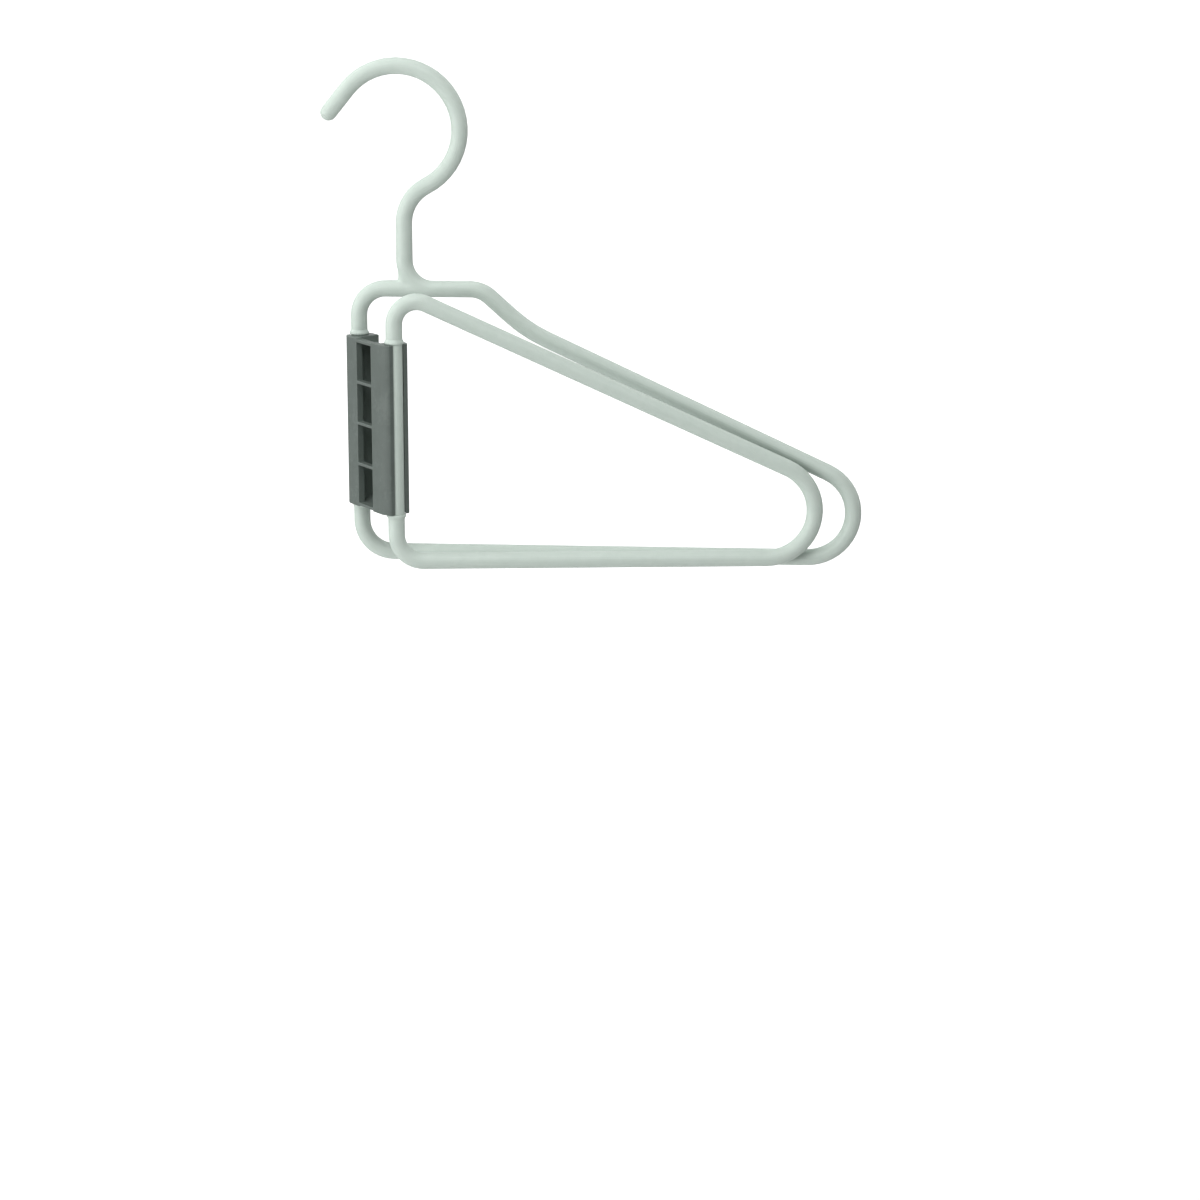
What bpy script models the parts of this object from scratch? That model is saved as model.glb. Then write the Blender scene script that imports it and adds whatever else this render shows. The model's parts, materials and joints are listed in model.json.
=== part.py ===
"""Folding travel hanger: two bent tube wings on a moulded hinge spine.

The hook wing carries the hook. The fold wing swings beside it on the spine, which clips
onto the upright post of each wing. The wings are shown folded together, hook upright.
Metres, +Z up, +X along the hook wing, the front wing towards -Y. The origin is the point
inside the top of the hook where a rail carries the hanger.
"""

import math

import bmesh
import bpy

# Tube that both wings are bent from
TUBE_DIAMETER = 0.0070

# Hook wing, measured between tube centrelines
HOOK_WING_REACH = 0.2087
HOOK_WING_HEIGHT = 0.1130
HOOK_WING_END_RADIUS = 0.0193
HOOK_WING_TOP_CORNER_RADIUS = 0.0113
HOOK_WING_BOTTOM_CORNER_RADIUS = 0.0134
NECK_BAR_LENGTH = 0.0518
STEP_ANGLE = 42.0
STEP_DROP = 0.0171
STEP_UPPER_RADIUS = 0.0120
STEP_LOWER_RADIUS = 0.0600

# Hook, rising from the neck bar of its wing
STEM_OFFSET = 0.0195
STEM_FOOT_RADIUS = 0.0120
HOOK_RADIUS = 0.0263
HOOK_CENTRE_RISE = 0.0665
HOOK_CENTRE_SHIFT = 0.0026
HOOK_NECK_RADIUS = 0.0175
HOOK_TIP_ANGLE = 141.0
HOOK_TIP_LENGTH = 0.0124

# Fold wing, measured between tube centrelines
FOLD_WING_REACH = 0.1758
FOLD_WING_END_RADIUS = 0.0203
FOLD_WING_TOP_CORNER_RADIUS = 0.0094
FOLD_WING_BOTTOM_CORNER_RADIUS = 0.0113
FOLD_WING_LIFT = 0.0012

# Hinge spine, a moulding with a clip along each long edge
POST_SPACING = 0.02955
SPINE_LENGTH = 0.0718
SPINE_THICKNESS = 0.0128
POST_CLEARANCE = 0.0003
CLIP_NARROWING = 0.0019
LONG_LIP_REACH = 0.0031
SHORT_LIP_REACH = 0.0024
CHANNEL_FLANK = 0.0087
WELL_WALL = 0.0016
BACK_WALL = 0.0022
RUNG_DEPTH = 0.0030
RUNG_THICKNESS = 0.0012
RUNG_RECESS = 0.0004
RUNG_COUNT = 5
END_NOTCH_DEPTH = 0.0045
EDGE_ROUNDING = 0.0003

# Folded pose: turn of the spine from square to the hook wing, and air between the wings
SPINE_SKEW = 36.6
WING_GAP = 0.0010

# Fineness of the round work
TUBE_SIDES = 24
BEND_STEP = 7.5
BORE_STEPS = 30
CLIP_STEPS = 6
DOME_STEPS = 4

# Overrun of every cutter past the face that it cuts
CUT_OVERRUN = 0.0010

# Share of the tube's radius left at the end of the hook's foot, inside the neck bar
FOOT_RADIUS_SHARE = 0.97

SAGE_PAINT = (0.665, 0.745, 0.690, 1.0)
GREY_GREEN_PLASTIC = (0.205, 0.245, 0.220, 1.0)

TUBE_RADIUS = TUBE_DIAMETER / 2


def clear_scene():
    for item in list(bpy.data.objects):
        bpy.data.objects.remove(item, do_unlink=True)


def make_material(name, colour, roughness, metallic):
    material = bpy.data.materials.new(name)
    material.use_nodes = True
    shader = material.node_tree.nodes["Principled BSDF"]
    shader.inputs["Base Color"].default_value = colour
    shader.inputs["Roughness"].default_value = roughness
    shader.inputs["Metallic"].default_value = metallic
    return material


def add_object(name, data, material=None):
    item = bpy.data.objects.new(name, data)
    bpy.context.collection.objects.link(item)
    if material:
        data.materials.append(material)
    return item


def finish_mesh(mesh, sharp_angle):
    mesh.shade_smooth()
    mesh.set_sharp_from_angle(angle=math.radians(sharp_angle))


def mesh_from(name, shape):
    bmesh.ops.recalc_face_normals(shape, faces=shape.faces)
    mesh = bpy.data.meshes.new(name)
    shape.to_mesh(mesh)
    shape.free()
    return mesh


def apply_modifiers(item):
    """Give the object its evaluated mesh in place of its modifiers."""
    graph = bpy.context.evaluated_depsgraph_get()
    mesh = bpy.data.meshes.new_from_object(item.evaluated_get(graph))
    item.modifiers.clear()
    item.data = mesh


def boolean(item, tool, operation):
    modifier = item.modifiers.new(operation.title(), "BOOLEAN")
    modifier.operation = operation
    modifier.solver = "EXACT"
    modifier.object = tool


# Centrelines, as stations (x, z, heading) in the plane of a wing

def arc_stations(centre, radius, start, end):
    """Stations round an arc, with angles in degrees and the heading along the travel."""
    turn = end - start
    steps = max(1, math.ceil(abs(turn) / BEND_STEP))
    stations = []
    for step in range(steps + 1):
        angle = math.radians(start + turn * step / steps)
        x = centre[0] + radius * math.cos(angle)
        z = centre[1] + radius * math.sin(angle)
        heading = angle + math.copysign(math.pi / 2, turn)
        stations.append((x, z, heading))
    return stations


def bent_outline(corners):
    """Stations round a closed outline whose corners (x, z, radius) are bent, not sharp."""
    stations = []
    count = len(corners)
    for index, (x, z, radius) in enumerate(corners):
        before = corners[index - 1]
        after = corners[(index + 1) % count]
        arriving = math.atan2(z - before[1], x - before[0])
        leaving = math.atan2(after[1] - z, after[0] - x)
        turn = math.remainder(leaving - arriving, math.tau)
        side = math.copysign(1, turn)
        tangent = radius * math.tan(abs(turn) / 2)
        start = (x - tangent * math.cos(arriving), z - tangent * math.sin(arriving))
        centre = (
            start[0] - side * radius * math.sin(arriving),
            start[1] + side * radius * math.cos(arriving),
        )
        first = math.degrees(arriving) - side * 90
        stations += arc_stations(centre, radius, first, first + math.degrees(turn))
    return stations


def step_foot():
    """Where the step down from the neck bar meets the hook wing's shoulder."""
    run = STEP_DROP / math.tan(math.radians(STEP_ANGLE))
    return NECK_BAR_LENGTH + run, HOOK_WING_HEIGHT - STEP_DROP


def shoulder_slope():
    """Slope of both shoulders: from the step's foot to a tangent on the hook wing's end."""
    x, z = step_foot()
    across = HOOK_WING_REACH - HOOK_WING_END_RADIUS - x
    down = z - HOOK_WING_END_RADIUS
    lift = math.asin(HOOK_WING_END_RADIUS / math.hypot(across, down))
    return math.atan2(down, across) - lift


def hook_wing_stations():
    x, z = step_foot()
    shoulder_end = x + z / math.tan(shoulder_slope())
    return bent_outline([
        (0, HOOK_WING_HEIGHT, HOOK_WING_TOP_CORNER_RADIUS),
        (NECK_BAR_LENGTH, HOOK_WING_HEIGHT, STEP_UPPER_RADIUS),
        (x, z, STEP_LOWER_RADIUS),
        (shoulder_end, 0, HOOK_WING_END_RADIUS),
        (0, 0, HOOK_WING_BOTTOM_CORNER_RADIUS),
    ])


def fold_wing_stations():
    """The front wing's shoulder runs parallel to the hook wing's, tangent to its own end."""
    slope = shoulder_slope()
    fall = math.tan(slope) * (FOLD_WING_REACH - FOLD_WING_END_RADIUS)
    top = fall + FOLD_WING_END_RADIUS * (1 + 1 / math.cos(slope))
    foot = top / math.tan(slope)
    return bent_outline([
        (0, top, FOLD_WING_TOP_CORNER_RADIUS),
        (foot, 0, FOLD_WING_END_RADIUS),
        (0, 0, FOLD_WING_BOTTOM_CORNER_RADIUS),
    ])


def hook_centre():
    return STEM_OFFSET - HOOK_CENTRE_SHIFT, HOOK_WING_HEIGHT + HOOK_CENTRE_RISE


def rail_seat():
    """The point inside the top of the hook that rests on a rail."""
    x, z = hook_centre()
    return x, z + HOOK_RADIUS - TUBE_RADIUS


def hook_stations():
    """From the tip, round the hook, through the neck and down the stem, and then its foot."""
    x, z = hook_centre()
    neck_x = STEM_OFFSET + HOOK_NECK_RADIUS
    neck_drop = math.sqrt((HOOK_RADIUS + HOOK_NECK_RADIUS) ** 2 - (neck_x - x) ** 2)
    neck_angle = math.degrees(math.atan2(-neck_drop, neck_x - x))

    hook = arc_stations((x, z), HOOK_RADIUS, HOOK_TIP_ANGLE, neck_angle)
    start_x, start_z, heading = hook[0]
    tip = (
        start_x - HOOK_TIP_LENGTH * math.cos(heading),
        start_z - HOOK_TIP_LENGTH * math.sin(heading),
        heading,
    )
    neck = arc_stations((neck_x, z - neck_drop), HOOK_NECK_RADIUS, neck_angle + 180, 180)
    foot_centre = (STEM_OFFSET + STEM_FOOT_RADIUS, HOOK_WING_HEIGHT + STEM_FOOT_RADIUS)
    foot = arc_stations(foot_centre, STEM_FOOT_RADIUS, 180, 270)
    return [tip] + hook + neck[1:], foot


# Tubes

def add_ring(shape, station, radius):
    x, z, heading = station
    ring = []
    for side in range(TUBE_SIDES):
        angle = math.tau * side / TUBE_SIDES
        across = radius * math.cos(angle)
        ring.append(shape.verts.new((
            x - across * math.sin(heading),
            radius * math.sin(angle),
            z + across * math.cos(heading),
        )))
    return ring


def join_rings(shape, first, second):
    for side in range(TUBE_SIDES):
        after = (side + 1) % TUBE_SIDES
        shape.faces.new((first[side], first[after], second[after], second[side]))


def closed_tube(name, stations):
    shape = bmesh.new()
    rings = [add_ring(shape, station, TUBE_RADIUS) for station in stations]
    for index, ring in enumerate(rings):
        join_rings(shape, ring, rings[(index + 1) % len(rings)])
    return mesh_from(name, shape)


def hook_tube(name):
    """A tube with a domed tip, whose foot narrows a little and ends inside the neck bar."""
    stations, foot = hook_stations()
    shape = bmesh.new()
    x, z, heading = stations[0]
    rings = []
    for step in range(1, DOME_STEPS + 1):
        angle = math.pi / 2 * step / DOME_STEPS
        back = TUBE_RADIUS * math.cos(angle)
        station = (x - back * math.cos(heading), z - back * math.sin(heading), heading)
        rings.append(add_ring(shape, station, TUBE_RADIUS * math.sin(angle)))
    rings += [add_ring(shape, station, TUBE_RADIUS) for station in stations[1:]]
    for index, station in enumerate(foot):
        narrowing = (1 - FOOT_RADIUS_SHARE) * index / (len(foot) - 1)
        rings.append(add_ring(shape, station, TUBE_RADIUS * (1 - narrowing)))

    for first, second in zip(rings, rings[1:]):
        join_rings(shape, first, second)
    shape.faces.new(rings[-1])
    tip = shape.verts.new((
        stations[0][0] - TUBE_RADIUS * math.cos(stations[0][2]),
        0,
        stations[0][1] - TUBE_RADIUS * math.sin(stations[0][2]),
    ))
    for side in range(TUBE_SIDES):
        shape.faces.new((rings[0][side], rings[0][(side + 1) % TUBE_SIDES], tip))
    return mesh_from(name, shape)


def build_hook_wing(material):
    """One bent tube: its hook's foot bends into the neck bar, welded shut behind the bend."""
    wing = add_object("hook_wing", closed_tube("hook_wing", hook_wing_stations()), material)
    hook = add_object("hook", hook_tube("hook"), material)
    boolean(wing, hook, "UNION")
    apply_modifiers(wing)
    bpy.data.objects.remove(hook, do_unlink=True)
    finish_mesh(wing.data, 40)
    return wing


def build_fold_wing(material):
    wing = add_object("fold_wing", closed_tube("fold_wing", fold_wing_stations()), material)
    finish_mesh(wing.data, 40)
    return wing


# Hinge spine, modelled with its first post axis at x = 0 and the second at POST_SPACING

def arc_points(centre_x, radius, start, end, steps):
    points = []
    for step in range(steps + 1):
        angle = start + (end - start) * step / steps
        points.append((centre_x + radius * math.cos(angle), radius * math.sin(angle)))
    return points


def clip_outline():
    """The first clip's outline, from the upper flank round its lips and bore to the lower."""
    half = SPINE_THICKNESS / 2
    bore = TUBE_RADIUS + POST_CLEARANCE
    upper_tip = math.acos(-(CLIP_NARROWING + LONG_LIP_REACH) / half)
    lower_tip = math.acos(-(CLIP_NARROWING + SHORT_LIP_REACH) / half)
    mouth_top = math.acos(-LONG_LIP_REACH / bore)
    mouth_bottom = math.acos(-SHORT_LIP_REACH / bore)
    upper = arc_points(CLIP_NARROWING, half, math.pi / 2, upper_tip, CLIP_STEPS)
    inner = arc_points(0, bore, mouth_top, -mouth_bottom, BORE_STEPS)
    lower = arc_points(CLIP_NARROWING, half, -lower_tip, -math.pi / 2, CLIP_STEPS)
    return upper + inner + lower


def spine_body():
    clip = clip_outline()
    outline = clip + [(POST_SPACING - x, -y) for x, y in clip]
    shape = bmesh.new()
    bottom = [shape.verts.new((x, y, -SPINE_LENGTH / 2)) for x, y in outline]
    face = shape.faces.new(bottom)
    grown = bmesh.ops.extrude_face_region(shape, geom=[face])
    top = [item for item in grown["geom"] if isinstance(item, bmesh.types.BMVert)]
    bmesh.ops.translate(shape, verts=top, vec=(0, 0, SPINE_LENGTH))
    return mesh_from("hinge_spine", shape)


def add_block(shape, low, high):
    """A closed block between two corners."""
    size = [high[axis] - low[axis] for axis in range(3)]
    middle = [(high[axis] + low[axis]) / 2 for axis in range(3)]
    made = bmesh.ops.create_cube(shape, size=1)
    bmesh.ops.scale(shape, verts=made["verts"], vec=size)
    bmesh.ops.translate(shape, verts=made["verts"], vec=middle)


def spine_pockets():
    """The well behind the rungs, the open pockets between them and the back's end notches."""
    half_length = SPINE_LENGTH / 2
    flank = -SPINE_THICKNESS / 2
    back = SPINE_THICKNESS / 2 - BACK_WALL
    bore_wall = TUBE_RADIUS + POST_CLEARANCE + WELL_WALL
    ladder = SPINE_LENGTH - 2 * RUNG_RECESS - RUNG_THICKNESS
    pitch = ladder / (RUNG_COUNT - 1)

    well = bmesh.new()
    add_block(
        well,
        (bore_wall, flank + RUNG_DEPTH, -half_length - CUT_OVERRUN),
        (POST_SPACING - bore_wall, back, half_length + CUT_OVERRUN),
    )
    well_object = add_object("well", mesh_from("well", well))

    pockets = bmesh.new()
    floors = [-ladder / 2 + pitch * index for index in range(RUNG_COUNT)]
    lows = [-half_length - CUT_OVERRUN] + [floor + RUNG_THICKNESS / 2 for floor in floors]
    highs = [floor - RUNG_THICKNESS / 2 for floor in floors] + [half_length + CUT_OVERRUN]
    for low, high in zip(lows, highs):
        add_block(
            pockets,
            (CHANNEL_FLANK, flank - CUT_OVERRUN, low),
            (POST_SPACING - CHANNEL_FLANK, flank + RUNG_DEPTH + CUT_OVERRUN, high),
        )
    notch_floor = half_length - END_NOTCH_DEPTH
    for low, high in ((-highs[-1], -notch_floor), (notch_floor, highs[-1])):
        add_block(
            pockets,
            (bore_wall, back - CUT_OVERRUN, low),
            (POST_SPACING - bore_wall, -flank + CUT_OVERRUN, high),
        )
    pocket_object = add_object("pockets", mesh_from("pockets", pockets))
    return [well_object, pocket_object]


def build_hinge_spine(material):
    spine = add_object("hinge_spine", spine_body(), material)
    cutters = spine_pockets()
    for cutter in cutters:
        boolean(spine, cutter, "DIFFERENCE")
    apply_modifiers(spine)
    for cutter in cutters:
        bpy.data.objects.remove(cutter, do_unlink=True)
    rounding = spine.modifiers.new("Rounding", "BEVEL")
    rounding.width = EDGE_ROUNDING
    rounding.segments = 2
    rounding.limit_method = "ANGLE"
    rounding.angle_limit = math.radians(35)
    apply_modifiers(spine)
    finish_mesh(spine.data, 40)
    return spine


# Assembly

def fold_angle():
    """Angle at which the front wing closes on the hook wing, which leaves the wing gap."""
    post_depth = POST_SPACING * math.cos(math.radians(SPINE_SKEW))
    closing = post_depth - TUBE_DIAMETER - WING_GAP
    return math.asin(closing / (FOLD_WING_REACH - FOLD_WING_END_RADIUS))


def add_pivot(name, location, turn, parent=None):
    """An empty on a joint's upright axis, turned about it."""
    pivot = add_object(name, None)
    pivot.location = location
    pivot.rotation_euler = (0, 0, turn)
    pivot.parent = parent
    return pivot


def assemble():
    paint = make_material("sage_powder_coat", SAGE_PAINT, 0.5, 0.0)
    plastic = make_material("grey_green_plastic", GREY_GREEN_PLASTIC, 0.55, 0.0)

    seat_x, seat_z = rail_seat()
    post_foot = HOOK_WING_BOTTOM_CORNER_RADIUS
    post_head = HOOK_WING_HEIGHT - HOOK_WING_TOP_CORNER_RADIUS
    spine_height = (post_foot + post_head) / 2
    spine_turn = math.radians(SPINE_SKEW - 90)

    hook_wing = build_hook_wing(paint)
    hook_wing.location = (-seat_x, 0, -seat_z)

    hook_post = add_pivot("hook_post_pivot", (-seat_x, 0, spine_height - seat_z), spine_turn)
    spine = build_hinge_spine(plastic)
    spine.parent = hook_post

    lift = FOLD_WING_LIFT - spine_height
    fold_turn = fold_angle() - spine_turn
    fold_post = add_pivot("fold_post_pivot", (POST_SPACING, 0, lift), fold_turn, hook_post)
    fold_wing = build_fold_wing(paint)
    fold_wing.parent = fold_post


clear_scene()
assemble()
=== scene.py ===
# folding travel hanger: finishes, small pieces, studio and camera, in metres and degrees
import json
import math

import bmesh
import bpy
from mathutils import Matrix, Vector


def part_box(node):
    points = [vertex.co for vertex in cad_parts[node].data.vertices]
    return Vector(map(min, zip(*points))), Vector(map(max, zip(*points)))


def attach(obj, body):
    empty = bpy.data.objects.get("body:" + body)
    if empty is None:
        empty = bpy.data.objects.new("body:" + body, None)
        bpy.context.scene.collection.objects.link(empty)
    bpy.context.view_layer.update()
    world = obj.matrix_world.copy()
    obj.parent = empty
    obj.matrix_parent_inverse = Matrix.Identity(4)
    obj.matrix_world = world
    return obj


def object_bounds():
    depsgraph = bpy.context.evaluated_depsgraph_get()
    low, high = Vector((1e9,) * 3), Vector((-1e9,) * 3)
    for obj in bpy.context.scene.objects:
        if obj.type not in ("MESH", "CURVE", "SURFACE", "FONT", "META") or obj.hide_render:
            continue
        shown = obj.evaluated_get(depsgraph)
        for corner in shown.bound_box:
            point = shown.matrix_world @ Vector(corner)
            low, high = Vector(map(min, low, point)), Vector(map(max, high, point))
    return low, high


print("hanger: loading the frame")
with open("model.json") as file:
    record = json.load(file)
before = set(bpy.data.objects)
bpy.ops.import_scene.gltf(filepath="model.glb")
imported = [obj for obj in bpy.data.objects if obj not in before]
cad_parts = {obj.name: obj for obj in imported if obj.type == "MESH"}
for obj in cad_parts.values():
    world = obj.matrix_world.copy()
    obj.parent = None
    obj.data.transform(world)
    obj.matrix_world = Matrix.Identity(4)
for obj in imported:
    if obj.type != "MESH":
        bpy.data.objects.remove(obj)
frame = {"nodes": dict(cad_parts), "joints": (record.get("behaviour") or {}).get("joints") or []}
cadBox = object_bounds()
scene = bpy.context.scene
scene.view_settings.view_transform = "Standard"


# places and sizes that the frame gives

jointAt = {joint["name"]: Vector(joint["pos_m"]) for joint in frame["joints"]}
rearPost = jointAt["spine_swing"]  # axis of the hook wing's post, halfway up the spine
frontPost = jointAt["wing_swing"]  # axis of the fold wing's post, at the same height
postToPost = frontPost - rearPost
# the hook wing lies flat about the plane y = 0, and its radius is taken to the nearest micrometre
tubeRadius = round(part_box("hook_wing")[1].y, 6)
spineLow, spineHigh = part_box("hinge_spine")
spineHalf = (spineHigh.z - spineLow.z) / 2
spineEnds = (("Top", 1), ("Foot", -1))  # and which way each end points
hangerMiddle = (cadBox[0] + cadBox[1]) / 2


# node helpers

def newMaterial(name):
    material = bpy.data.materials.new(name)
    material.use_nodes = True
    tree = material.node_tree
    tree.nodes.clear()
    return material, tree


def addNode(tree, kind, at, **settings):
    node = tree.nodes.new(kind)
    node.location = at
    for key, value in settings.items():
        setattr(node, key, value)
    return node


def feed(tree, given, socket):
    # another node's socket is linked, and a number or a colour is set
    if isinstance(given, bpy.types.NodeSocket):
        tree.links.new(given, socket)
    else:
        socket.default_value = given


def workOut(tree, kind, at, operation, *operands):
    node = addNode(tree, kind, at, operation=operation)
    for operand, socket in zip(operands, node.inputs):
        feed(tree, operand, socket)
    return node.outputs["Value"]


def rampOf(tree, at, source, span=(0.0, 1.0), reached=(0.0, 1.0)):
    # smooth change from the first to the second value reached, over that span of the source
    ramp = addNode(tree, "ShaderNodeMapRange", at, interpolation_type="SMOOTHSTEP")
    feed(tree, source, ramp.inputs["Value"])
    for label, value in zip(("From Min", "From Max", "To Min", "To Max"), (*span, *reached)):
        feed(tree, value, ramp.inputs[label])
    return ramp.outputs["Result"]


def groupShell(name, inputs, outputs):
    group = bpy.data.node_groups.new(name, "ShaderNodeTree")
    for way, labels in (("INPUT", inputs), ("OUTPUT", outputs)):
        for label in labels:
            group.interface.new_socket(label, in_out=way, socket_type="NodeSocketFloat")
    enter = addNode(group, "NodeGroupInput", (-900, 0))
    leave = addNode(group, "NodeGroupOutput", (700, 0))
    return group, enter, leave


def cloudOfSize(group, enter, label, y, detail, roughness):
    # noise with lumps about as wide as the group's input of that name says
    coords = addNode(group, "ShaderNodeTexCoord", (-700, y + 120))
    scale = workOut(group, "ShaderNodeMath", (-700, y), "DIVIDE", 1.0, enter.outputs[label])
    cloud = addNode(group, "ShaderNodeTexNoise", (-450, y))
    feed(group, coords.outputs["Object"], cloud.inputs["Vector"])
    feed(group, scale, cloud.inputs["Scale"])
    feed(group, detail, cloud.inputs["Detail"])
    feed(group, roughness, cloud.inputs["Roughness"])
    return cloud.outputs["Fac"]


# effects that both finishes share

surfaceGrainSettings = {
    "detail": 2.0,
    "fineRoughness": 0.55,
    "coarseRoughness": 0.5,
}


def buildSurfaceGrain():
    # fine pebbled skin: two sizes of bumps as a height, and the coarse ones as a mask for tint
    settings = surfaceGrainSettings
    group, enter, leave = groupShell(
        "surfaceGrain", ("Grain Size", "Coarse Size", "Coarse Share"), ("Height", "Coarse"))
    detail = settings["detail"]
    fine = cloudOfSize(group, enter, "Grain Size", 160, detail, settings["fineRoughness"])
    coarse = cloudOfSize(group, enter, "Coarse Size", -160, detail, settings["coarseRoughness"])
    heights = addNode(group, "ShaderNodeMix", (-150, 60), data_type="FLOAT")
    feed(group, enter.outputs["Coarse Share"], heights.inputs["Factor"])
    feed(group, fine, heights.inputs["A"])
    feed(group, coarse, heights.inputs["B"])
    feed(group, heights.outputs["Result"], leave.inputs["Height"])
    feed(group, coarse, leave.inputs["Coarse"])
    return group


handlingRubSettings = {
    "detail": 3.0,
    "roughness": 0.6,
    "startShare": 0.5,  # of the cover: where the mask starts to rise
    "softness": 0.14,  # how far it is from there to the full mask
}


def buildHandlingRub():
    # faint worn patches: a broad cloud broken up by a finer one, as a mask from 0 to 1
    settings = handlingRubSettings
    group, enter, leave = groupShell(
        "handlingRub", ("Patch Size", "Break Size", "Cover"), ("Mask",))
    texture = (settings["detail"], settings["roughness"])
    patches = cloudOfSize(group, enter, "Patch Size", 160, *texture)
    breaks = cloudOfSize(group, enter, "Break Size", -160, *texture)
    broken = workOut(group, "ShaderNodeMath", (-220, 40), "MULTIPLY", patches, breaks)
    start = workOut(
        group, "ShaderNodeMath", (-220, -160), "MULTIPLY",
        enter.outputs["Cover"], settings["startShare"])
    full = workOut(group, "ShaderNodeMath", (0, -220), "ADD", start, settings["softness"])
    feed(group, rampOf(group, (240, 40), broken, (start, full)), leave.inputs["Mask"])
    return group


edgeCatchSettings = {
    "samples": 6,
    "agreement": (0.995, 0.90),  # cosine between softened and true normal, from flat to edge
}


def buildEdgeCatch():
    # where the surface turns over an edge, as a mask from 0 on flats to 1 on edges: the finishes
    # paint a highlight along edges by it
    settings = edgeCatchSettings
    group, enter, leave = groupShell("edgeCatch", ("Edge Width",), ("Mask",))
    softened = addNode(group, "ShaderNodeBevel", (-600, 60), samples=settings["samples"])
    feed(group, enter.outputs["Edge Width"], softened.inputs["Radius"])
    sharp = addNode(group, "ShaderNodeNewGeometry", (-600, -140))
    agreement = workOut(
        group, "ShaderNodeVectorMath", (-350, 0), "DOT_PRODUCT",
        softened.outputs["Normal"], sharp.outputs["Normal"])
    feed(group, rampOf(group, (-100, 0), agreement, settings["agreement"]), leave.inputs["Mask"])
    return group


creviceShadeSettings = {
    "samples": 8,
    "openness": (1.0, 0.35),  # from open surface to tight corner
}


def buildCreviceShade():
    # how closed in a spot is, as a mask from 0 on open surface to 1 in tight corners: the coat
    # paints shade by it, and the plastic paints lightening
    settings = creviceShadeSettings
    group, enter, leave = groupShell("creviceShade", ("Reach",), ("Mask",))
    around = addNode(group, "ShaderNodeAmbientOcclusion", (-500, 0), samples=settings["samples"])
    feed(group, enter.outputs["Reach"], around.inputs["Distance"])
    mask = rampOf(group, (-200, 0), around.outputs["AO"], settings["openness"])
    feed(group, mask, leave.inputs["Mask"])
    return group


surfaceGrain = buildSurfaceGrain()
tintLayers = {
    "rub": buildHandlingRub(),
    "edgeHighlight": buildEdgeCatch(),
    "crevice": buildCreviceShade(),
}


# studio and camera

studioSettings = {
    "lens": 104.47,
    "sensor": 36.0,
    "clip": (0.01, 100.0),
    "cameraAt": (0.18019, -1.44018, 0.13503),
    "cameraTilt": 76.088,
    "cameraTurn": 3.796,
    "floorDrop": 0.55,  # below the lowest tube: the hanger hangs clear of the floor
    "floorSize": 60.0,
    "floorColour": (0.80, 0.80, 0.80, 1.0),
    "floorLift": (0.43, 1.0),  # glow that only the camera sees, near and far
    "floorLiftReach": (0.6, 2.2),
    "white": (1.0, 1.0, 1.0, 1.0),
    "airColour": (0.80, 0.80, 0.80, 1.0),
    "airStrength": 0.50,
    "airLean": (0.0, 0.50, 0.0),  # the air is brighter behind the hanger than in front
    "lampSize": 0.9,
    "lampDistance": 1.29,  # from the middle of the hanger
    # degrees round from the front, where left is negative, and degrees up from level
    "lamps": {
        "sideBox": {"round": -90.0, "up": 0.0, "power": 2.55},
        "frontSideBox": {"round": -49.2, "up": 0.0, "power": 6.9},
        "topBox": {"round": 0.0, "up": 90.0, "power": 4.73},
        "highFrontBox": {"round": 0.0, "up": 45.0, "power": 7.56},
        "highSideBox": {"round": -90.0, "up": 40.8, "power": 3.5},
    },
}


def placeCamera():
    data = bpy.data.cameras.new("photoCamera")
    data.sensor_width = studioSettings["sensor"]
    data.lens = studioSettings["lens"]
    data.clip_start, data.clip_end = studioSettings["clip"]
    camera = bpy.data.objects.new("photoCamera", data)
    camera.location = studioSettings["cameraAt"]
    camera.rotation_euler = (
        math.radians(studioSettings["cameraTilt"]), 0, math.radians(studioSettings["cameraTurn"]))
    scene.collection.objects.link(camera)
    scene.camera = camera


def hangLamps():
    # soft boxes on a ball round the hanger, all turned to its middle
    for name, lamp in studioSettings["lamps"].items():
        data = bpy.data.lights.new(name, "AREA")
        data.size = studioSettings["lampSize"]
        data.energy = lamp["power"]
        turn = math.radians(lamp["round"])
        rise = math.radians(lamp["up"])
        outwards = Vector((
            math.sin(turn) * math.cos(rise), -math.cos(turn) * math.cos(rise), math.sin(rise)))
        item = bpy.data.objects.new(name, data)
        item.location = hangerMiddle + studioSettings["lampDistance"] * outwards
        item.rotation_euler = (-outwards).to_track_quat("-Z", "Y").to_euler()
        scene.collection.objects.link(item)


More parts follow.
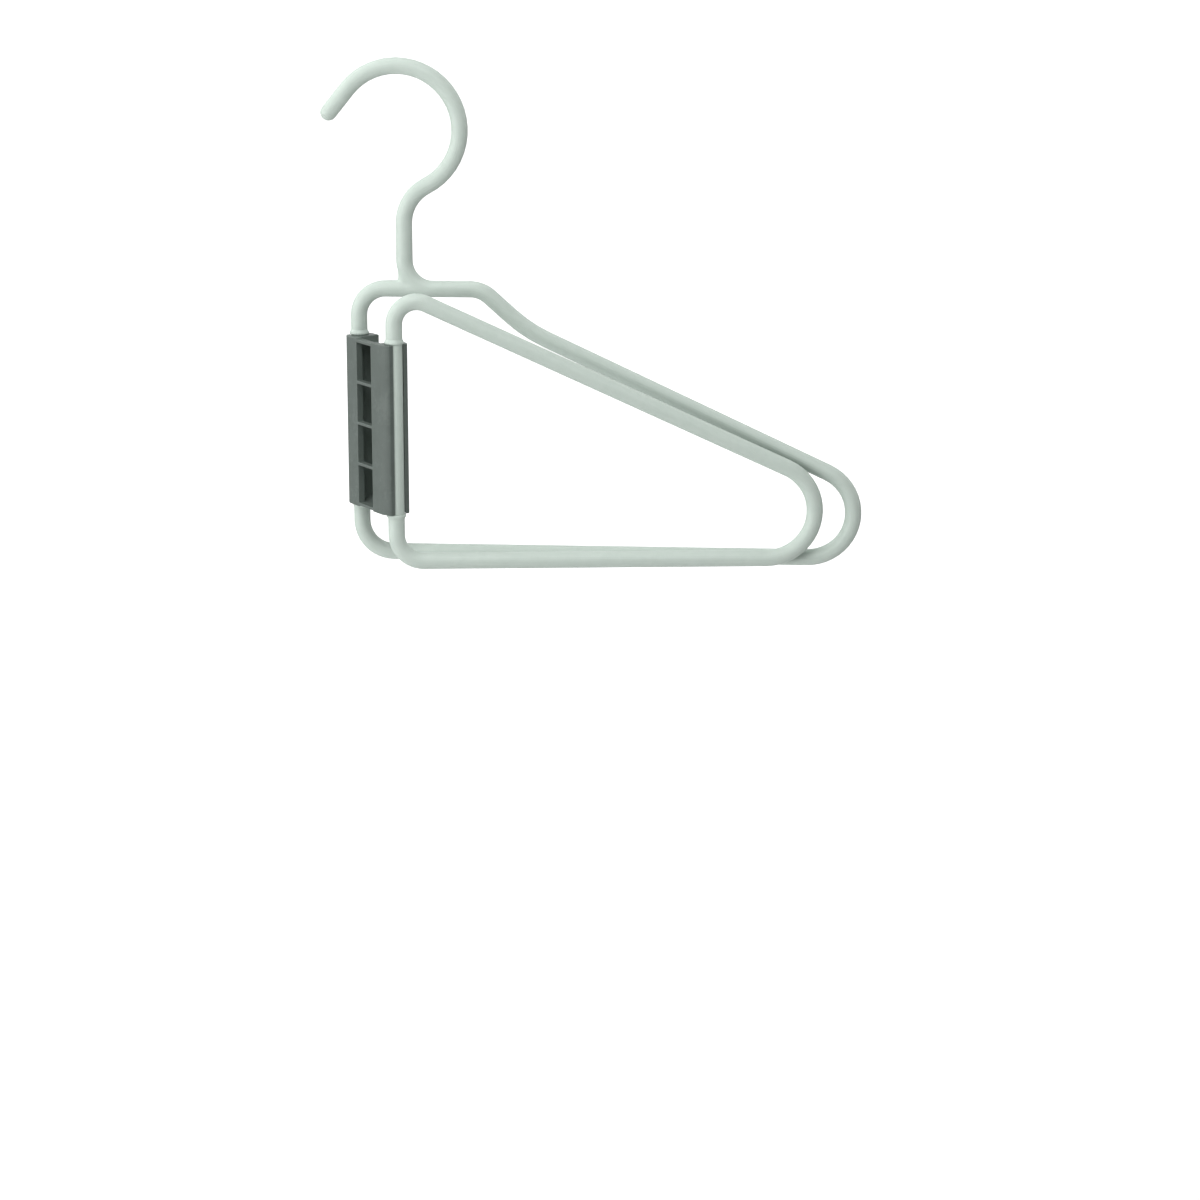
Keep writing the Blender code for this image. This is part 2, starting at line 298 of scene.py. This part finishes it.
def fillAir():
    # soft light from all round, and plain white where the air itself is seen or mirrored
    world = bpy.data.worlds.new("studioAir")
    world.use_nodes = True
    tree = world.node_tree
    tree.nodes.clear()
    heading = addNode(tree, "ShaderNodeTexCoord", (-700, -40))
    lean = workOut(
        tree, "ShaderNodeVectorMath", (-450, -40), "DOT_PRODUCT",
        heading.outputs["Generated"], studioSettings["airLean"])
    level = workOut(
        tree, "ShaderNodeMath", (-200, -40), "ADD", lean, studioSettings["airStrength"])
    soft = addNode(tree, "ShaderNodeBackground", (50, -40))
    feed(tree, studioSettings["airColour"], soft.inputs["Color"])
    feed(tree, level, soft.inputs["Strength"])
    white = addNode(tree, "ShaderNodeBackground", (50, -180))
    feed(tree, studioSettings["white"], white.inputs["Color"])
    rays = addNode(tree, "ShaderNodeLightPath", (-500, 220))
    seen = workOut(
        tree, "ShaderNodeMath", (-250, 200), "MAXIMUM",
        rays.outputs["Is Camera Ray"], rays.outputs["Is Glossy Ray"])
    seenThrough = workOut(
        tree, "ShaderNodeMath", (0, 200), "MAXIMUM", seen, rays.outputs["Is Transmission Ray"])
    mix = addNode(tree, "ShaderNodeMixShader", (300, 0))
    feed(tree, seenThrough, mix.inputs["Fac"])
    feed(tree, soft.outputs[0], mix.inputs[1])
    feed(tree, white.outputs[0], mix.inputs[2])
    leave = addNode(tree, "ShaderNodeOutputWorld", (500, 0))
    feed(tree, mix.outputs[0], leave.inputs["Surface"])
    scene.world = world


def floorPaper():
    # white paper, with a glow that takes it up to the photo's plain white ground
    material, tree = newMaterial("floorPaper")
    paper = addNode(tree, "ShaderNodeBsdfDiffuse", (150, 80))
    feed(tree, studioSettings["floorColour"], paper.inputs["Color"])
    coords = addNode(tree, "ShaderNodeTexCoord", (-900, -260))
    away = workOut(
        tree, "ShaderNodeVectorMath", (-700, -260), "LENGTH", coords.outputs["Object"])
    lift = rampOf(
        tree, (-500, -260), away, studioSettings["floorLiftReach"], studioSettings["floorLift"])
    rays = addNode(tree, "ShaderNodeLightPath", (-300, -80))
    shown = workOut(
        tree, "ShaderNodeMath", (-50, -80), "MULTIPLY", rays.outputs["Is Camera Ray"], lift)
    glow = addNode(tree, "ShaderNodeEmission", (150, -80))
    feed(tree, studioSettings["white"], glow.inputs["Color"])
    feed(tree, shown, glow.inputs["Strength"])
    both = addNode(tree, "ShaderNodeAddShader", (400, 0))
    feed(tree, paper.outputs[0], both.inputs[0])
    feed(tree, glow.outputs[0], both.inputs[1])
    leave = addNode(tree, "ShaderNodeOutputMaterial", (600, 0))
    feed(tree, both.outputs[0], leave.inputs["Surface"])
    return material


def layFloor():
    half = studioSettings["floorSize"] / 2
    corners = [(-half, -half, 0), (half, -half, 0), (half, half, 0), (-half, half, 0)]
    mesh = bpy.data.meshes.new("studioFloor")
    mesh.from_pydata(corners, [], [range(len(corners))])
    mesh.materials.append(floorPaper())
    floor = bpy.data.objects.new("studioFloor", mesh)
    floor.location = (0, 0, cadBox[0].z - studioSettings["floorDrop"])
    scene.collection.objects.link(floor)


# finishes

def layGroup(tree, group, at, values):
    node = addNode(tree, "ShaderNodeGroup", at, node_tree=group)
    for name, value in values.items():
        feed(tree, value, node.inputs[name])
    return node


def tintStep(tree, at, below, above, amount):
    # one layer of colour over another, by a mask
    mix = addNode(tree, "ShaderNodeMix", at, data_type="RGBA")
    feed(tree, below, mix.inputs["A"])
    feed(tree, above, mix.inputs["B"])
    feed(tree, amount, mix.inputs["Factor"])
    return mix.outputs["Result"]


def finishFrom(settings):
    # tint clouded by the coarse grain, then worn patches, a painted highlight on edges and
    # painted light in pockets over it (shade on the coat, lightening on the plastic)
    material, tree = newMaterial(settings["name"])
    grain = layGroup(tree, surfaceGrain, (-500, -200), settings["grain"])
    clouds = rampOf(tree, (-250, -80), grain.outputs["Coarse"], settings["clouds"])
    colour = tintStep(tree, (0, 40), settings["deepTint"], settings["tint"], clouds)
    masks = {}
    for step, (layer, group) in enumerate(tintLayers.items()):
        height = 60 + 200 * step
        masks[layer] = layGroup(tree, group, (-500, height), settings[layer]).outputs["Mask"]
        amount = rampOf(
            tree, (-250, height), masks[layer], reached=(0.0, settings[layer + "Show"]))
        colour = tintStep(tree, (200 + 200 * step, 80), colour, settings[layer + "Tint"], amount)
    gloss = rampOf(
        tree, (200, -120), masks["rub"],
        reached=(settings["roughness"], settings["rubRoughness"]))

    bump = addNode(tree, "ShaderNodeBump", (500, -280))
    feed(tree, settings["bumpStrength"], bump.inputs["Strength"])
    feed(tree, settings["bumpDepth"], bump.inputs["Distance"])
    feed(tree, grain.outputs["Height"], bump.inputs["Height"])

    skin = addNode(tree, "ShaderNodeBsdfPrincipled", (800, 0))
    feed(tree, colour, skin.inputs["Base Color"])
    feed(tree, gloss, skin.inputs["Roughness"])
    feed(tree, settings["specular"], skin.inputs["Specular IOR Level"])
    feed(tree, bump.outputs["Normal"], skin.inputs["Normal"])
    leave = addNode(tree, "ShaderNodeOutputMaterial", (1100, 0))
    feed(tree, skin.outputs[0], leave.inputs["Surface"])
    return material


sageCoatSettings = {
    "name": "sagePowderCoat",
    "tint": (0.586, 0.670, 0.613, 1.0),
    "deepTint": (0.568, 0.654, 0.596, 1.0),
    "rubTint": (0.606, 0.688, 0.632, 1.0),
    # painted highlight along edges, a little lighter than the coat
    "edgeHighlightTint": (0.606, 0.688, 0.632, 1.0),
    # painted shade in tight corners, such as where the two wings pass close
    "creviceTint": (0.300, 0.360, 0.322, 1.0),
    "rubShow": 0.35,
    "edgeHighlightShow": 0.25,
    "creviceShow": 0.45,
    "roughness": 0.44,
    "rubRoughness": 0.36,
    "specular": 0.40,
    "clouds": (0.30, 0.65),  # of the coarse grain, from deepTint to tint
    "grain": {"Grain Size": 0.0006, "Coarse Size": 0.0042, "Coarse Share": 0.35},
    "rub": {"Patch Size": 0.024, "Break Size": 0.0035, "Cover": 0.52},
    "edgeHighlight": {"Edge Width": 0.0004},
    "crevice": {"Reach": 0.016},
    "bumpDepth": 0.00004,
    "bumpStrength": 0.30,
}


def sagePowderCoat():
    return finishFrom(sageCoatSettings)


spinePlasticSettings = {
    "name": "greyGreenPlastic",
    "tint": (0.099, 0.122, 0.110, 1.0),
    "deepTint": (0.089, 0.111, 0.099, 1.0),
    "rubTint": (0.122, 0.148, 0.133, 1.0),
    # painted highlight along edges, far lighter than the plastic
    "edgeHighlightTint": (0.230, 0.268, 0.246, 1.0),
    "creviceTint": (0.175, 0.210, 0.190, 1.0),  # painted lightening in the pockets, lighter than the plastic's own tint
    "rubShow": 0.40,
    "edgeHighlightShow": 0.60,
    "creviceShow": 0.70,
    "roughness": 0.50,
    "rubRoughness": 0.40,
    "specular": 0.45,
    "clouds": (0.30, 0.65),  # of the coarse grain, from deepTint to tint
    "grain": {"Grain Size": 0.00035, "Coarse Size": 0.006, "Coarse Share": 0.2},
    "rub": {"Patch Size": 0.012, "Break Size": 0.0018, "Cover": 0.50},
    "edgeHighlight": {"Edge Width": 0.0005},
    "crevice": {"Reach": 0.014},
    "bumpDepth": 0.00004,
    "bumpStrength": 0.45,
}


def greyGreenPlastic():
    return finishFrom(spinePlasticSettings)


cadDressSettings = {
    # keeps the long strips of the tube mesh from showing as bands under raking light
    "terminatorOffset": 0.3,
}


def dressNode(name, material):
    item = frame["nodes"][name]
    item.data.materials.clear()
    item.data.materials.append(material)
    item.cycles.shadow_terminator_geometry_offset = cadDressSettings["terminatorOffset"]


# small pieces that the frame doesn't carry

def bridgeRings(shape, rings):
    # quads from each ring of points to the next
    for first, second in zip(rings, rings[1:]):
        for side in range(len(first)):
            after = (side + 1) % len(first)
            shape.faces.new((first[side], first[after], second[after], second[side]))


def closeTube(shape, rings):
    bridgeRings(shape, rings)
    shape.faces.new(rings[0])
    shape.faces.new(rings[-1])


def addPiece(name, shape, material, keptSharp):
    bmesh.ops.recalc_face_normals(shape, faces=shape.faces)
    mesh = bpy.data.meshes.new(name)
    shape.to_mesh(mesh)
    shape.free()
    mesh.shade_smooth()
    mesh.set_sharp_from_angle(angle=math.radians(keptSharp))
    mesh.materials.append(material)
    piece = bpy.data.objects.new(name, mesh)
    scene.collection.objects.link(piece)
    return piece


def keepShape(item):
    # swap the modifiers for the mesh that they make
    graph = bpy.context.evaluated_depsgraph_get()
    mesh = bpy.data.meshes.new_from_object(item.evaluated_get(graph))
    item.modifiers.clear()
    item.data = mesh


stemWeldSettings = {
    "barHeight": -0.0893,  # centre line of the neck bar
    "stemX": 0.0026,  # centre line of the stem
    "bendRadius": 0.012,  # of the centre line, from the stem into the bar
    "skin": 0.00008,  # over the tube: the softening draws it back in
    "footShare": 0.97,  # of the radius, where the bend runs out inside the bar
    "barEnds": (-0.0060, 0.0260),
    "stemTop": -0.0700,
    "fillRadius": 0.0028,  # filler that closes the crotch behind the bend
    "bendSteps": 24,
    "sides": 32,
    "voxel": 0.0003,
    "softening": 0.5,
    "passes": 60,
    "keptSharp": 180,  # it is melted all over, so no edge is sharp
}


def tubeAlong(shape, points, sides):
    # closed tube through (x, z, radius) points in the plane of the wing
    rings = []
    for index, (x, z, radius) in enumerate(points):
        before = points[max(index - 1, 0)]
        after = points[min(index + 1, len(points) - 1)]
        heading = math.atan2(after[1] - before[1], after[0] - before[0])
        ring = []
        for side in range(sides):
            angle = math.tau * side / sides
            across = radius * math.cos(angle)
            ring.append(shape.verts.new((
                x - across * math.sin(heading),
                radius * math.sin(angle),
                z + across * math.cos(heading))))
        rings.append(ring)
    closeTube(shape, rings)


def weldStemFoot(material):
    # bend, bar and filler melted into one skin, like a ground weld under the paint
    settings = stemWeldSettings
    bend, bar, stem = settings["bendRadius"], settings["barHeight"], settings["stemX"]
    skin = tubeRadius + settings["skin"]
    fill = settings["fillRadius"]
    foot = [(stem, settings["stemTop"], skin)]
    for step in range(settings["bendSteps"] + 1):
        share = step / settings["bendSteps"]
        angle = math.pi + math.pi / 2 * share
        radius = skin * (1 - (1 - settings["footShare"]) * share)
        foot.append((
            stem + bend + bend * math.cos(angle),
            bar + bend + bend * math.sin(angle),
            radius))
    shape = bmesh.new()
    tubeAlong(shape, foot, settings["sides"])
    tubeAlong(shape, [(end, bar, skin) for end in settings["barEnds"]], settings["sides"])
    tubeAlong(shape, [(stem, bar + bend, fill), (stem, bar, fill)], settings["sides"])
    weld = addPiece("stemWeld", shape, material, settings["keptSharp"])
    remesh = weld.modifiers.new("melt", "REMESH")
    remesh.mode = "VOXEL"
    remesh.voxel_size = settings["voxel"]
    remesh.use_smooth_shade = True
    smooth = weld.modifiers.new("soften", "SMOOTH")
    smooth.factor = settings["softening"]
    smooth.iterations = settings["passes"]
    keepShape(weld)
    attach(weld, "hook_wing_body")


spineWebSettings = {
    "boreReach": 0.0052,  # from a post's axis to the well's wall
    "across": (-0.0036, 0.0046),  # from the end rung to the back wall
    "drop": (0.0016, 0.0047),  # from the spine's end to the inner face, at rung and back wall
    "thickness": 0.0011,
    "steps": 12,
    "keptSharp": 40,
}


def closeSpineEnds(material):
    # sloping webs from the end rungs to the back wall, that close the well behind the ladder
    settings = spineWebSettings
    turn = math.atan2(postToPost.y, postToPost.x)
    place = Matrix.Translation(rearPost) @ Matrix.Rotation(turn, 4, "Z")
    left = settings["boreReach"]
    right = postToPost.length - settings["boreReach"]
    rung, backWall = settings["across"]
    rungDrop, backDrop = settings["drop"]
    for which, way in spineEnds:
        shape = bmesh.new()
        rings = []
        for step in range(settings["steps"] + 1):
            share = step / settings["steps"]
            eased = share * share * (3 - 2 * share)
            across = rung + (backWall - rung) * share
            inner = spineHalf - rungDrop - (backDrop - rungDrop) * eased
            outer = inner + settings["thickness"]
            corners = ((left, inner), (right, inner), (right, outer), (left, outer))
            rings.append([
                shape.verts.new((along, across, way * height)) for along, height in corners])
        closeTube(shape, rings)
        bmesh.ops.transform(shape, matrix=place, verts=shape.verts)
        web = addPiece("spineWeb" + which, shape, material, settings["keptSharp"])
        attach(web, "hinge_spine_body")


postCollarSettings = {
    # distances from the spine's end to where the collar starts, is widest and runs out
    "start": 0.00015,
    "crest": 0.00075,
    "end": 0.00240,
    # how far it stands out of the tube there: at its end it has just gone into the tube
    "startProud": 0.00036,
    "crestProud": 0.00062,
    "endProud": -0.00003,
    "sunk": 0.00020,  # how far inside the tube its hidden faces end
    "riseSteps": 2,
    "fallSteps": 4,
    "sides": 48,
    "keptSharp": 50,
}


def collarOutline():
    # (distance from the spine's end, radius): a quarter ellipse to the crest, then a slow fall
    settings = postCollarSettings
    start, crest, end = settings["start"], settings["crest"], settings["end"]
    startRadius = tubeRadius + settings["startProud"]
    crestRadius = tubeRadius + settings["crestProud"]
    endRadius = tubeRadius + settings["endProud"]
    hidden = tubeRadius - settings["sunk"]
    outline = [(start, hidden)]
    for step in range(settings["riseSteps"] + 1):
        angle = math.pi / 2 * step / settings["riseSteps"]
        outline.append((
            crest - (crest - start) * math.cos(angle),
            startRadius + (crestRadius - startRadius) * math.sin(angle)))
    for step in range(1, settings["fallSteps"] + 1):
        share = step / settings["fallSteps"]
        height = (1 + math.cos(math.pi * share)) / 2
        outline.append((
            crest + (end - crest) * share,
            endRadius + (crestRadius - endRadius) * height))
    outline.append((end, hidden))
    return outline


def collarPosts(material):
    # the stops beyond both ends of the spine that keep it from sliding along the posts
    settings = postCollarSettings
    sides = settings["sides"]
    outline = collarOutline()
    for wing, post in (("hook", rearPost), ("fold", frontPost)):
        for which, way in spineEnds:
            shape = bmesh.new()
            rings = []
            for distance, radius in outline:
                rings.append([
                    shape.verts.new((
                        radius * math.cos(math.tau * side / sides),
                        radius * math.sin(math.tau * side / sides),
                        way * (spineHalf + distance)))
                    for side in range(sides)])
            # the last ring joins the first, inside the tube
            bridgeRings(shape, rings + rings[:1])
            bmesh.ops.translate(shape, verts=shape.verts, vec=post)
            collar = addPiece(wing + "PostCollar" + which, shape, material, settings["keptSharp"])
            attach(collar, wing + "_wing_body")


print("hanger: camera and studio")
placeCamera()
hangLamps()
fillAir()
layFloor()

print("hanger: finishes")
sageCoat = sagePowderCoat()
spinePlastic = greyGreenPlastic()
dressNode("hook_wing", sageCoat)
dressNode("fold_wing", sageCoat)
dressNode("hinge_spine", spinePlastic)

print("hanger: weld, spine webs and post collars")
weldStemFoot(sageCoat)
closeSpineEnds(spinePlastic)
collarPosts(sageCoat)

print("hanger: done")
